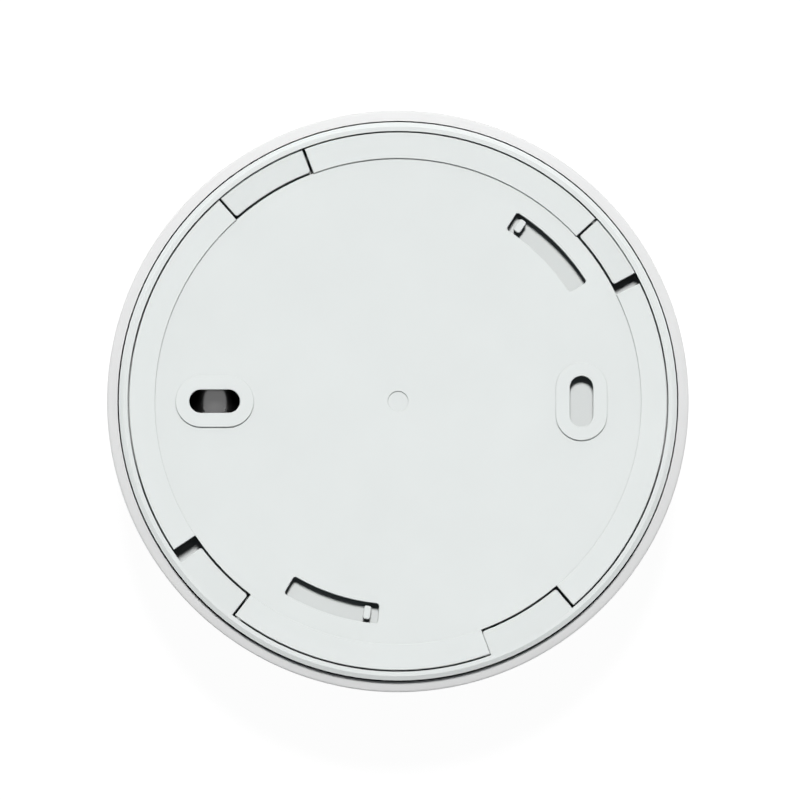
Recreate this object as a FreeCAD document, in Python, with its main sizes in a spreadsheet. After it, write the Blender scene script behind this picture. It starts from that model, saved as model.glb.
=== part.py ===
import FreeCAD, Part
import math
import os
from types import SimpleNamespace

import Sketcher
from FreeCAD import Placement, Rotation, Vector

# A round smoke detector that twists onto a ceiling bracket.
# The origin is the centre of the bracket's ceiling face. +Z points into the ceiling, so the
# detector hangs below, at negative z. It is drawn locked on its bracket. Millimetres and degrees.

# ---------------------------------------------------------------- driving dimensions
# Names that end in _drop say how far below the ceiling face something lies.
DIMENSIONS = {
    # mounting bracket
    "bracket_radius": 46.16,
    "disc_radius": 41.72,
    "disc_drop": 0.4,
    "disc_thickness": 1.5,
    "annulus_thickness": 0.95,
    "channel_wall": 1.2,
    "channel_drop": 4.2,
    "ledge_radius": 45.9,
    "ledge_thickness": 1.2,
    "edge_break": 0.1,
    "mouth_break": 0.1,
    "dimple_radius": 1.7,
    "dimple_depth": 0.25,
    "screw_slot_spacing": 63.0,
    "screw_slot_length": 8.7,
    "screw_slot_width": 4.0,
    "screw_pad_length": 13.5,
    "screw_pad_width": 8.9,
    "screw_head_chamfer": 1.2,
    "curved_slot_inner": 34.9,
    "curved_slot_outer": 38.36,
    "curved_slot_corner": 0.5,
    # base housing
    "plateau_radius": 40.2,
    "plateau_drop": 2.75,
    "floor_thickness": 1.6,
    "trough_drop": 4.6,
    "rim_inner": 46.45,
    "rim_outer": 47.95,
    "rim_drop": 0.4,
    "rim_chamfer": 0.75,
    "rim_chamfer_drop": 0.42,
    "skirt_drop": 9.0,
    "lug_inner": 42.1,
    "lug_drop": 1.1,
    "lug_thickness": 1.7,
    "lug_corner": 0.5,
    "lug_root": 0.5,
    "post_inner": 35.5,
    "post_outer": 37.8,
    "post_drop": 0.7,
    "post_corner": 0.4,
    "bay_wall": 1.2,
    "bay_half_length": 20.0,
    "board_boss_radius": 3.0,
    "board_boss_taper": 0.4,
    "board_boss_overlap": 0.2,
    "board_pilot_radius": 0.9,
    "board_pilot_depth": 3.2,
    "cover_hole_radius": 1.5,
    "cover_sink_radius": 2.7,
    "cover_sink_depth": 1.2,
    "tab_slot_length": 2.6,
    "tab_slot_height": 0.6,
    # battery and its contacts
    "battery_x": -31.4,
    "battery_drop": 13.2,
    "battery_radius": 8.5,
    "battery_length": 34.5,
    "battery_nub": 1.25,
    "battery_nub_radius": 3.2,
    "battery_clearance": 0.4,
    "sleeve_thickness": 0.2,
    "sleeve_setback": 0.2,
    "crimp_width": 1.0,
    "seal_thickness": 0.4,
    "contact_thickness": 0.4,
    "contact_half_width": 5.0,
    "contact_reach": 6.0,
    "contact_gap": 0.02,
    "leaf_half_width": 2.0,
    "leaf_rise": 2.0,
    "tab_width": 2.0,
    "tab_reach": 3.0,
    # circuit board
    "board_drop": 8.0,
    "board_thickness": 1.6,
    "board_radius": 41.5,
    "board_edge_x": -20.4,
    "board_notch_gap": 0.6,
    "board_hole_radius": 1.3,
    "chip_height": 1.4,
    "leg_reach": 0.9,
    "leg_half_width": 0.2,
    "leg_thickness": 0.25,
    "capacitor_radius": 3.15,
    "capacitor_plug_radius": 2.8,
    "capacitor_plug_height": 0.4,
    "capacitor_height": 7.5,
    "inductor_radius": 4.0,
    "inductor_core_radius": 3.2,
    "inductor_flange": 1.0,
    "inductor_height": 6.0,
    # screws
    "recess_half_length": 1.0,
    "recess_half_width": 0.25,
    "recess_depth": 0.8,
    "board_head_radius": 2.2,
    "board_head_height": 1.5,
    "board_shank_radius": 0.88,
    "board_shank_reach": 3.0,
    "cover_head_radius": 2.55,
    "cover_head_sink": 0.05,
    "cover_shank_radius": 1.05,
    "cover_shank_length": 11.0,
    # smoke chamber
    "chamber_x": 22.5,
    "chamber_radius": 17.9,
    "chamber_floor": 1.4,
    "chamber_drop": 26.0,
    "vane_thickness": 0.8,
    "vane_inner": 13.2,
    "vane_bend": 15.2,
    "vane_outer": 17.0,
    "vane_inner_y": -1.4,
    "vane_bend_y": 0.6,
    "vane_outer_y": -1.0,
    "vane_gap": 0.2,
    "screen_thickness": 0.25,
    "screen_gap": 0.02,
    "screen_edge": 0.4,
    "screen_hole_width": 1.3,
    "holder_start": 5.4,
    "holder_length": 5.8,
    "holder_width": 5.4,
    "holder_height": 6.4,
    "optics_drop": 3.2,
    "optics_radius": 1.5,
    "optics_bore_radius": 1.6,
    "optics_flange_radius": 1.9,
    "optics_flange_start": 11.2,
    "optics_flange_end": 12.0,
    "emitter_start": 6.6,
    "receiver_start": 7.0,
    "shield_radius": 2.3,
    "shield_end": 12.3,
    "shield_gap": 0.05,
    # sounder
    "sounder_x": -24.0,
    "sounder_radius": 14.9,
    "sounder_wall": 1.3,
    "sounder_roof": 1.0,
    "sounder_top_drop": 24.2,
    "sounder_bottom_drop": 31.6,
    "piezo_drop": 28.7,
    "piezo_thickness": 0.3,
    "piezo_seat": 0.8,
    "piezo_gap": 0.05,
    "ceramic_radius": 9.2,
    "ceramic_thickness": 0.25,
    "clamp_height": 1.2,
    "gasket_height": 0.9,
    "lead_radius": 0.35,
    "lead_hole_radius": 0.6,
    "arm_half_width": 2.4,
    "arm_thickness": 1.4,
    "guide_wall": 1.4,
    "guide_rise": 3.0,
    "guide_drop": 27.0,
    # test button and switch
    "button_radius": 7.5,
    "button_gap": 0.3,
    "button_proud": 0.2,
    "button_dish": 0.5,
    "button_land": 1.2,
    "button_round": 0.4,
    "button_flange": 1.3,
    "flange_gap": 0.35,
    "flange_thickness": 0.9,
    "hub_height": 0.6,
    "hub_margin": 1.0,
    "stem_radius": 2.0,
    "stem_gap": 0.3,
    "stem_tip_drop": 14.85,
    "spring_radius": 2.9,
    "spring_wire": 0.5,
    "spring_gap": 0.03,
    "switch_side": 6.0,
    "switch_depth": 3.4,
    "switch_bore_depth": 2.0,
    "plunger_radius": 1.75,
    "plunger_gap": 0.15,
    "plunger_reach": 1.0,
    "plunger_root": 1.5,
    # status light
    "light_y": -18.0,
    "light_radius": 1.5,
    "light_gap": 0.1,
    "light_recess": 0.3,
    "light_top_gap": 1.5,
    "collar_width": 0.9,
    "collar_height": 1.0,
    "collar_gap": 0.5,
    "led_half_length": 1.6,
    "led_half_width": 0.8,
    "led_height": 1.1,
    # front cover
    "cover_radius": 50.0,
    "cover_bore": 48.2,
    "cover_drop": 2.05,
    "cover_ring_slope": 0.38,
    "cover_ring_edge": 0.5,
    "cover_depth": 36.0,
    "cover_draft": 1.2,
    "cover_wall": 1.8,
    "cover_dome": 500.0,
    "cover_shoulder": 8.0,
    "skirt_room": 0.5,
    "inlet_width": 3.0,
    "inlet_height": 8.0,
    "inlet_depth": 4.2,
    "inlet_drop": 18.0,
    "inlet_break": 0.25,
    "front_cut_depth": 5.8,
    "sound_slot_length": 16.0,
    "sound_slot_taper": 2.4,
    "sound_slot_pitch": 3.4,
    "sound_slot_width": 1.6,
    "column_radius": 2.8,
    "column_bore_radius": 1.1,
    "column_circle": 43.3,
    "cover_screw_angle": 20.0,
}

# How far a cutting tool runs past the face it cuts, and past the side of the part.
OVERCUT = 0.1
OVERRUN = 1.0
# Heights and places closer than this are the same.
HAIR = 1e-4
# The part of a full turn that leaves a lying cylinder's lower half.
LOWER_HALF = 180

# Each quarter's window in the bracket's rim and the base's lug in it: start and end angles from +X.
QUARTERS = {
    "north_east": (26.0, 42.8, 28.45, 42.3),
    "north_west": (110.3, 131.7, 110.9, 131.2),
    "south_west": (213.5, 232.7, 216.6, 232.2),
    "south_east": (290.0, 310.7, 290.06, 310.1),
}
QUARTER_FIELDS = ("window_start", "window_end", "lug_start", "lug_end")

# Each curved slot in the bracket's disc and the base's post in it: start and end angles from +X.
CURVED_SLOTS = {
    "upper": (32.3, 57.8, 54.2, 56.2),
    "lower": (239.3, 264.7, 260.7, 262.6),
}
CURVED_FIELDS = ("slot_start", "slot_end", "post_start", "post_end")

# Counts.
INLETS = 48
SCREEN_HOLES = 48
SCREEN_ROWS = 5
SCREEN_HOLE_SHARE = 0.6
VANES = 20
COVER_SCREWS = 3
SOUND_SLOTS = 5
SPRING_TURNS = 4
SPRING_SEGMENT = 0.5

# Directions of the emitter and the photodiode from the chamber's centre.
EMITTER_ANGLE = 120
RECEIVER_ANGLE = 240

# Places of small parts on the board, x and y.
BOARD_SCREW_PLACES = ((-15.0, 31.0), (-15.0, -31.0), (16.0, 33.5), (16.0, -33.5))
CHIP_CAPACITOR_PLACES = ((12.0, 24.0), (15.0, 24.0), (-5.0, 28.0), (24.0, -27.0), (-10.0, -22.0))
CHIP_RESISTOR_PLACES = ((-2.0, 24.0), (0.5, 24.0), (3.0, 28.0), (6.0, 28.0), (20.0, -29.0), (-6.0, -27.0))
CAPACITOR_PLACE = (-9.0, 18.0)
INDUCTOR_PLACE = (-9.0, -14.0)
LEAD_PLACES = ((-15.5, 2.0), (-12.6, -2.0))

# Length, width and height of the small two-ended components.
CHIP_CAPACITOR_SIZE = (2.0, 1.25, 1.0)
CHIP_RESISTOR_SIZE = (1.6, 0.8, 0.5)

# Each legged chip: x, y, length, width, and its number of pairs of legs.
CHIPS = {
    "microcontroller": (6.0, 16.0, 9.0, 7.0, 8),
    "sounder_driver": (-10.0, 3.0, 5.0, 4.0, 4),
}


class Size:
    """A number together with the spreadsheet expression that it comes from."""

    def __init__(self, value, text):
        self.value = value
        self.text = text

    def __add__(self, other):
        other = as_size(other)
        return Size(self.value + other.value, f"({self.text} + {other.text})")

    def __sub__(self, other):
        other = as_size(other)
        return Size(self.value - other.value, f"({self.text} - {other.text})")

    def __mul__(self, other):
        other = as_size(other)
        return Size(self.value * other.value, f"({self.text} * {other.text})")

    def __truediv__(self, other):
        other = as_size(other)
        return Size(self.value / other.value, f"({self.text} / {other.text})")

    def __radd__(self, other):
        return as_size(other) + self

    def __rsub__(self, other):
        return as_size(other) - self

    def __rmul__(self, other):
        return as_size(other) * self

    def __neg__(self):
        return Size(-self.value, f"(0 - {self.text})")


def as_size(number):
    """The number as a Size: a plain number stands for itself."""
    if isinstance(number, Size):
        return number
    return Size(float(number), f"({float(number)})")


def polar(radius, angle):
    """The x and y of a point at this radius and this angle in degrees."""
    radius, angle = as_size(radius), as_size(angle)
    turn = math.radians(angle.value)
    x = Size(radius.value * math.cos(turn), f"({radius.text} * cos({angle.text} * 1deg))")
    y = Size(radius.value * math.sin(turn), f"({radius.text} * sin({angle.text} * 1deg))")
    return x, y


def make_sheet():
    """Writes every driving dimension into the spreadsheet and returns them as named Sizes."""
    sheet = doc.addObject("Spreadsheet::Sheet", "sizes")
    cells = dict(DIMENSIONS)
    for quarter, angles in QUARTERS.items():
        cells.update({f"{quarter}_{field}": angle for field, angle in zip(QUARTER_FIELDS, angles)})
    for slot, angles in CURVED_SLOTS.items():
        cells.update({f"{slot}_{field}": angle for field, angle in zip(CURVED_FIELDS, angles)})
    for row, (alias, value) in enumerate(cells.items(), start=1):
        sheet.set(f"A{row}", alias)
        sheet.set(f"B{row}", str(value))
        sheet.setAlias(f"B{row}", alias)
    doc.recompute()
    return SimpleNamespace(**{alias: Size(value, f"sizes.{alias}") for alias, value in cells.items()})


# ---------------------------------------------------------------- sketches
def new_body(name):
    return doc.addObject("PartDesign::Body", name)


def new_sketch(body, name, plane="XY_Plane", offset=0.0):
    """An empty sketch on one of the body's own planes, moved along that plane's normal by offset."""
    sketch = body.newObject("Sketcher::SketchObject", name)
    support = next(f for f in body.Origin.OriginFeatures if f.Role == plane)
    sketch.AttachmentSupport = [(support, "")]
    sketch.MapMode = "FlatFace"
    sketch.setExpression("AttachmentOffset.Base.z", as_size(offset).text)
    return sketch


def dimension(sketch, kind, *where, size):
    """A driving dimension of the sketch, bound to its spreadsheet expression."""
    value = math.radians(size.value) if kind == "Angle" else size.value
    index = sketch.addConstraint(Sketcher.Constraint(kind, *where, value))
    sketch.setExpression(f"Constraints[{index}]", size.text)


def fix_point(sketch, edge, end, x, y):
    """Places one point of the sketch. A zero coordinate puts it on the sketch's axis."""
    for kind, axis, size in (("DistanceX", -2, as_size(x)), ("DistanceY", -1, as_size(y))):
        if size.value == 0.0:
            sketch.addConstraint(Sketcher.Constraint("PointOnObject", edge, end, axis))
        else:
            dimension(sketch, kind, -1, 1, edge, end, size=size)


def circle(sketch, x, y, radius):
    x, y, radius = as_size(x), as_size(y), as_size(radius)
    centre = Vector(x.value, y.value, 0)
    edge = sketch.addGeometry(Part.Circle(centre, Vector(0, 0, 1), radius.value), False)
    fix_point(sketch, edge, 3, x, y)
    dimension(sketch, "Radius", edge, size=radius)


def arc_between(start, end, radius):
    """The arc from start to end with its centre on the left of the way there, less than a half turn."""
    middle, chord = (start + end) * 0.5, end - start
    reach = math.sqrt(radius**2 - (chord.Length / 2) ** 2)
    left = Vector(-chord.y, chord.x, 0).normalize()
    top = middle - left * (radius - reach)
    return Part.Arc(start, top, end)


def outline(sketch, corners):
    """A closed outline, run counter-clockwise. A corner is (x, y), or (x, y, radius) where the stretch
    from it to the next corner is an arc that bulges outwards."""
    corners = [[as_size(number) for number in corner] for corner in corners]
    points = [Vector(corner[0].value, corner[1].value, 0) for corner in corners]
    edges = []
    for place, corner in enumerate(corners):
        start, end = points[place], points[(place + 1) % len(points)]
        line = arc_between(start, end, corner[2].value) if len(corner) > 2 else Part.LineSegment(start, end)
        edges.append(sketch.addGeometry(line, False))
    for place, edge in enumerate(edges):
        following = edges[(place + 1) % len(edges)]
        sketch.addConstraint(Sketcher.Constraint("Coincident", edge, 2, following, 1))
        fix_point(sketch, edge, 1, *corners[place][:2])
        if len(corners[place]) > 2:
            dimension(sketch, "Radius", edge, size=corners[place][2])


def rectangle(sketch, x0, x1, y0, y1):
    outline(sketch, ((x0, y0), (x1, y0), (x1, y1), (x0, y1)))


def sector(sketch, inner, outer, start, end):
    """A stretch of a ring round the sketch's origin, from one angle to another."""
    first, last = math.radians(start.value), math.radians(end.value)
    corner = {
        (radius, turn): Vector(radius.value * math.cos(turn), radius.value * math.sin(turn), 0)
        for radius in (inner, outer)
        for turn in (first, last)
    }
    up = Vector(0, 0, 1)
    outside = sketch.addGeometry(Part.ArcOfCircle(Part.Circle(Vector(), up, outer.value), first, last), False)
    inward = sketch.addGeometry(Part.LineSegment(corner[outer, last], corner[inner, last]), False)
    inside = sketch.addGeometry(Part.ArcOfCircle(Part.Circle(Vector(), up, inner.value), first, last), False)
    outward = sketch.addGeometry(Part.LineSegment(corner[inner, first], corner[outer, first]), False)
    joints = ((outside, 3, -1, 1), (inside, 3, -1, 1), (outside, 2, inward, 1), (inward, 2, inside, 2))
    for joint in (*joints, (inside, 1, outward, 1), (outward, 2, outside, 1)):
        sketch.addConstraint(Sketcher.Constraint("Coincident", *joint))
    for line in (inward, outward):
        sketch.addConstraint(Sketcher.Constraint("PointOnObject", -1, 1, line))
    dimension(sketch, "Radius", outside, size=outer)
    dimension(sketch, "Radius", inside, size=inner)
    dimension(sketch, "Angle", outward, size=start)
    dimension(sketch, "Angle", inward, size=end + 180)


def oblong(sketch, x, y, length, width, along_x):
    """A slot outline with round ends, centred at x, y."""
    radius, half = width / 2, (length - width) / 2
    if along_x:
        left, right, low, high = x - half, x + half, y - radius, y + radius
        ends = ((left, low), (right, low), (right, high), (left, high))
        centres = ((x + half, y), (x - half, y))
    else:
        left, right, low, high = x - radius, x + radius, y - half, y + half
        ends = ((right, low), (right, high), (left, high), (left, low))
        centres = ((x, y + half), (x, y - half))
    points = [Vector(as_size(px).value, as_size(py).value, 0) for px, py in ends]
    hubs = [Vector(as_size(px).value, as_size(py).value, 0) for px, py in centres]
    middle = (hubs[0] + hubs[1]) * 0.5
    tops = [hub + (hub - middle).normalize() * radius.value for hub in hubs]
    shape = (
        Part.LineSegment(points[0], points[1]),
        Part.Arc(points[1], tops[0], points[2]),
        Part.LineSegment(points[2], points[3]),
        Part.Arc(points[3], tops[1], points[0]),
    )
    side, cap, other_side, other_cap = (sketch.addGeometry(line, False) for line in shape)
    for first, second in ((side, cap), (cap, other_side), (other_side, other_cap), (other_cap, side)):
        sketch.addConstraint(Sketcher.Constraint("Tangent", first, 2, second, 1))
    fix_point(sketch, cap, 3, *centres[0])
    fix_point(sketch, other_cap, 3, *centres[1])
    dimension(sketch, "Radius", cap, size=radius)


# ---------------------------------------------------------------- features of a body
def settle(body, feature, grows):
    """Recomputes the body and makes sure that the feature added or removed material."""
    before = body.Shape.Volume if not body.Shape.isNull() else 0.0
    body.Tip = feature
    doc.recompute()
    change = body.Shape.Volume - before
    if change * (1 if grows else -1) <= 0:
        raise RuntimeError(f"{feature.Name} changed its body by {change:.4f} mm3")
    return feature


def pad(body, sketch, height):
    """Material from the sketch's plane upwards."""
    feature = body.newObject("PartDesign::Pad", f"{sketch.Name}_pad")
    feature.Profile = sketch
    feature.setExpression("Length", as_size(height).text)
    return settle(body, feature, grows=True)


def pocket(body, sketch, depth, upwards=False):
    """A pocket from the sketch's plane downwards, or upwards."""
    feature = body.newObject("PartDesign::Pocket", f"{sketch.Name}_pocket")
    feature.Profile = sketch
    feature.Reversed = upwards
    feature.setExpression("Length", as_size(depth).text)
    return settle(body, feature, grows=False)


def revolve(body, sketch):
    """A full turn of the sketch about its upright axis."""
    feature = body.newObject("PartDesign::Revolution", f"{sketch.Name}_turn")
    feature.Profile = sketch
    feature.ReferenceAxis = (sketch, ["V_Axis"])
    feature.Angle = 360.0
    return settle(body, feature, grows=True)


def polar_copies(body, feature, count, grows):
    """Repeats a feature evenly round the body's own Z axis."""
    pattern = body.newObject("PartDesign::PolarPattern", f"{feature.Name}_round")
    pattern.Originals = [feature]
    axis = next(f for f in body.Origin.OriginFeatures if f.Role == "Z_Axis")
    pattern.Axis = (axis, [""])
    pattern.Angle = 360.0
    pattern.Occurrences = count
    return settle(body, pattern, grows=grows)


def dress(body, kind, size, wanted):
    """Rounds or chamfers the edges of the body that the wanted test picks."""
    base = body.Tip
    names = [f"Edge{n}" for n, edge in enumerate(base.Shape.Edges, start=1) if wanted(edge)]
    feature = body.newObject(f"PartDesign::{kind}", f"{base.Name}_{kind.lower()}")
    feature.Base = (base, names)
    feature.setExpression("Radius" if kind == "Fillet" else "Size", as_size(size).text)
    body.Tip = feature
    doc.recompute()
    if feature.Shape.isNull():
        raise RuntimeError(f"{feature.Name} has no shape")
    return feature


def is_upright(edge):
    ends = [vertex.Point for vertex in edge.Vertexes]
    return len(ends) == 2 and math.hypot(ends[1].x - ends[0].x, ends[1].y - ends[0].y) < HAIR


def upright_at(inner, outer):
    """A test for the upright edges whose distance from the Z axis lies between two radii."""
    return lambda edge: is_upright(edge) and inner < math.hypot(*edge.CenterOfMass[:2]) < outer


def level_at(height):
    """A test for the edges that lie wholly at one height."""
    return lambda edge: all(abs(z - height.value) < HAIR for z in (edge.BoundBox.ZMin, edge.BoundBox.ZMax))


# ---------------------------------------------------------------- primitives and booleans
def place(thing, x, y, z, rotation=None):
    """Gives the object its Placement, with the position bound to the sheet."""
    thing.Placement = Placement(Vector(), rotation or Rotation())
    for axis, size in zip("xyz", (x, y, z)):
        thing.setExpression(f"Placement.Base.{axis}", as_size(size).text)
    return thing


def cylinder(name, radius, x, y, bottom, top):
    thing = doc.addObject("Part::Cylinder", name)
    thing.setExpression("Radius", as_size(radius).text)
    thing.setExpression("Height", (as_size(top) - bottom).text)
    return place(thing, x, y, bottom)


def rod_along_y(name, radius, x, z, start, end, angle=360):
    """A cylinder that lies along +Y."""
    thing = doc.addObject("Part::Cylinder", name)
    thing.Angle = angle
    thing.setExpression("Radius", as_size(radius).text)
    thing.setExpression("Height", (as_size(end) - start).text)
    return place(thing, x, start, z, Rotation(Vector(1, 0, 0), -90))


def cone(name, bottom_radius, top_radius, x, y, bottom, top):
    thing = doc.addObject("Part::Cone", name)
    thing.setExpression("Radius1", as_size(bottom_radius).text)
    thing.setExpression("Radius2", as_size(top_radius).text)
    thing.setExpression("Height", (as_size(top) - bottom).text)
    return place(thing, x, y, bottom)


def box(name, x0, x1, y0, y1, z0, z1):
    thing = doc.addObject("Part::Box", name)
    for side, low, high in (("Length", x0, x1), ("Width", y0, y1), ("Height", z0, z1)):
        thing.setExpression(side, (as_size(high) - low).text)
    return place(thing, x0, y0, z0)


def joined(name, things):
    fuse = doc.addObject("Part::MultiFuse", name)
    fuse.Shapes = list(things)
    return fuse


def cut(name, base, *tools):
    """The base with every tool taken away."""
    result = doc.addObject("Part::Cut", name)
    result.Base = base
    result.Tool = tools[0] if len(tools) == 1 else joined(f"{name}_tools", tools)
    return result


def group(name, things):
    """Separate solids that share one node."""
    compound = doc.addObject("Part::Compound", name)
    compound.Links = list(things)
    return compound


def ring(name, inner, outer, x, y, bottom, top):
    return cut(
        name,
        cylinder(f"{name}_outside", outer, x, y, bottom, top),
        cylinder(f"{name}_inside", inner, x, y, bottom, top),
    )


# ---------------------------------------------------------------- the bracket
def mounting_bracket():
    """The disc that is screwed to the ceiling, with ledges that the detector's lugs rest on."""
    body = new_body("mounting_bracket")
    section = new_sketch(body, "bracket_section", "XZ_Plane")
    disc_bottom = -(d.disc_drop + d.disc_thickness)
    channel_inner = d.disc_radius - d.channel_wall
    corners = (
        (0, disc_bottom),
        (channel_inner, disc_bottom),
        (channel_inner, -d.channel_drop),
        (d.disc_radius, -d.channel_drop),
        (d.disc_radius, -d.annulus_thickness),
        (d.bracket_radius, -d.annulus_thickness),
        (d.bracket_radius, 0),
        (d.disc_radius, 0),
        (d.disc_radius, -d.disc_drop),
        (0, -d.disc_drop),
    )
    outline(section, corners)
    revolve(body, section)

    windows = new_sketch(body, "windows", offset=OVERCUT)
    ledges = new_sketch(body, "ledges", offset=-d.channel_drop)
    for quarter in QUARTERS:
        span = spans[quarter]
        sector(windows, d.disc_radius, d.bracket_radius + OVERRUN, span.window_start, span.window_end)
        sector(ledges, d.disc_radius - d.channel_wall / 2, d.ledge_radius, span.lug_start, span.window_end)
    pocket(body, windows, d.annulus_thickness + 2 * OVERCUT)
    pad(body, ledges, d.ledge_thickness)

    pads = new_sketch(body, "screw_pads", offset=disc_bottom)
    slots = new_sketch(body, "screw_slots", offset=OVERCUT)
    half = d.screw_slot_spacing / 2
    for x, along_x in ((-half, True), (half, False)):
        oblong(pads, x, as_size(0), d.screw_pad_length, d.screw_pad_width, along_x)
        oblong(slots, x, as_size(0), d.screw_slot_length, d.screw_slot_width, along_x)
    pad(body, pads, -disc_bottom)
    pocket(body, slots, 2 * OVERCUT - disc_bottom)
    slot_length = d.screw_slot_length.value
    at_disc_bottom = level_at(disc_bottom)

    def is_slot_bottom(edge):
        """An edge of a screw slot on the disc's lower face."""
        small = edge.BoundBox.XLength < slot_length + OVERRUN
        return at_disc_bottom(edge) and small and abs(edge.CenterOfMass.x) > half.value - slot_length

    dress(body, "Chamfer", d.screw_head_chamfer, is_slot_bottom)
    dress(body, "Chamfer", d.edge_break, level_at(as_size(0)))

    curved = new_sketch(body, "curved_slots", offset=-d.disc_drop)
    for slot in CURVED_SLOTS:
        sector(curved, d.curved_slot_inner, d.curved_slot_outer, spans[slot].slot_start, spans[slot].slot_end)
    pocket(body, curved, d.disc_thickness)
    band = (d.curved_slot_inner.value - OVERCUT, d.curved_slot_outer.value + OVERCUT)
    corner_at = upright_at(*band)
    dress(body, "Fillet", d.curved_slot_corner, lambda edge: corner_at(edge) and off_axis(edge))

    dimple = new_sketch(body, "dimple", offset=-d.disc_drop)
    circle(dimple, 0, 0, d.dimple_radius)
    pocket(body, dimple, d.dimple_depth)
    at_disc_top = level_at(-d.disc_drop)

    def is_mouth(edge):
        """An edge of a curved slot or of the dimple on the disc's upper face."""
        away = max(math.hypot(vertex.X, vertex.Y) for vertex in edge.Vertexes)
        in_slot = band[0] < away < band[1] and off_axis(edge)
        return at_disc_top(edge) and (in_slot or away < d.dimple_radius.value + OVERRUN)

    dress(body, "Chamfer", d.mouth_break, is_mouth)
    return body


def off_axis(edge):
    """True for an edge that lies clear of the two screw pads."""
    return abs(edge.CenterOfMass.y) > d.screw_pad_length.value / 2


# ---------------------------------------------------------------- the base
def base_body():
    """The base's turned shape with its lugs and posts, before the battery bay is added."""
    body = new_body("base_turned")
    section = new_sketch(body, "base_section", "XZ_Plane")
    plateau_bottom = -(d.plateau_drop + d.floor_thickness)
    trough_bottom = -(d.trough_drop + d.floor_thickness)
    corners = (
        (0, plateau_bottom),
        (d.plateau_radius - d.floor_thickness, plateau_bottom),
        (d.plateau_radius - d.floor_thickness, trough_bottom),
        (d.rim_inner, trough_bottom),
        (d.rim_inner, -d.skirt_drop),
        (d.rim_outer, -d.skirt_drop),
        (d.rim_outer, -(d.rim_drop + d.rim_chamfer_drop)),
        (d.rim_outer - d.rim_chamfer, -d.rim_drop),
        (d.rim_inner, -d.rim_drop),
        (d.rim_inner, -d.trough_drop),
        (d.plateau_radius, -d.trough_drop),
        (d.plateau_radius, -d.plateau_drop),
        (0, -d.plateau_drop),
    )
    outline(section, corners)
    revolve(body, section)

    lugs = new_sketch(body, "lugs", offset=-(d.lug_drop + d.lug_thickness))
    for quarter in QUARTERS:
        span = spans[quarter]
        sector(lugs, d.lug_inner, d.rim_inner + d.lug_root, span.lug_start, span.lug_end)
    pad(body, lugs, d.lug_thickness)
    lug_edge = d.lug_inner.value
    dress(body, "Fillet", d.lug_corner, upright_at(lug_edge - OVERCUT, lug_edge + OVERCUT))
    at_lug_top = level_at(-d.lug_drop)
    root = d.rim_inner.value - d.lug_root.value
    dress(body, "Chamfer", d.edge_break, lambda edge: at_lug_top(edge) and edge.CenterOfMass.Length < root)

    posts = new_sketch(body, "posts", offset=-d.plateau_drop)
    for slot in CURVED_SLOTS:
        sector(posts, d.post_inner, d.post_outer, spans[slot].post_start, spans[slot].post_end)
    pad(body, posts, d.plateau_drop - d.post_drop)
    corner_at = upright_at(d.post_inner.value - OVERCUT, d.post_outer.value + OVERCUT)
    dress(body, "Fillet", d.post_corner, corner_at)
    dress(body, "Chamfer", d.edge_break, level_at(-d.post_drop))
    return body


def bay_block(name, wall, top):
    """A block with a round bottom along the battery, out to this wall thickness round its room."""
    radius = d.battery_radius + d.battery_clearance + wall
    half_length = d.bay_half_length + wall
    x, z = d.battery_x, -d.battery_drop
    upper = box(f"{name}_upper", x - radius, x + radius, -half_length, half_length, z, top)
    lower = rod_along_y(f"{name}_lower", radius, x, z, -half_length, half_length, LOWER_HALF)
    return joined(name, (upper, lower))


def cover_screw_places():
    step = 360 / COVER_SCREWS
    return [polar(d.column_circle, d.cover_screw_angle + step * n) for n in range(COVER_SCREWS)]


def base_housing():
    """The detector's back: it carries the battery bay, the bosses for the board and the cover screws."""
    floor = -d.trough_drop
    board_face = -d.board_drop
    boss_top = floor - d.board_boss_overlap
    solids = [base_body(), bay_block("bay_outside", d.bay_wall, boss_top)]
    tools = [bay_block("bay_room", as_size(0), -d.plateau_drop + OVERCUT)]
    for n, (x, y) in enumerate(BOARD_SCREW_PLACES):
        slim, deep = d.board_boss_radius - d.board_boss_taper, boss_top - OVERCUT
        solids.append(cylinder(f"board_boss_{n}", d.board_boss_radius, x, y, board_face, boss_top))
        solids.append(cylinder(f"upper_boss_{n}", slim, x, y, deep, -d.plateau_drop - d.board_boss_overlap))
        low, high = board_face - OVERCUT, board_face + d.board_pilot_depth
        tools.append(cylinder(f"board_pilot_{n}", d.board_pilot_radius, x, y, low, high))
    for n, (x, y) in enumerate(cover_screw_places()):
        radius, sunk = d.cover_hole_radius, floor - d.cover_sink_depth
        through = floor - d.floor_thickness - OVERCUT
        tools.append(cylinder(f"cover_screw_hole_{n}", radius, x, y, through, floor + OVERCUT))
        tools.append(cone(f"cover_screw_sink_{n}", radius, d.cover_sink_radius, x, y, sunk, floor))
    x0 = d.battery_x + d.battery_radius + d.battery_clearance - OVERCUT
    x1 = x0 + d.bay_wall + 2 * OVERCUT
    z1 = -(d.board_drop + d.board_thickness) + OVERCUT
    y0, y1 = d.bay_half_length - d.tab_slot_length, d.bay_half_length
    tools.append(box("positive_tab_slot", x0, x1, y0, y1, z1 - d.tab_slot_height, z1))
    tools.append(box("negative_tab_slot", x0, x1, -y1, -y0, z1 - d.tab_slot_height, z1))
    return cut("base_housing", joined("base_solid", solids), *tools)


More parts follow.
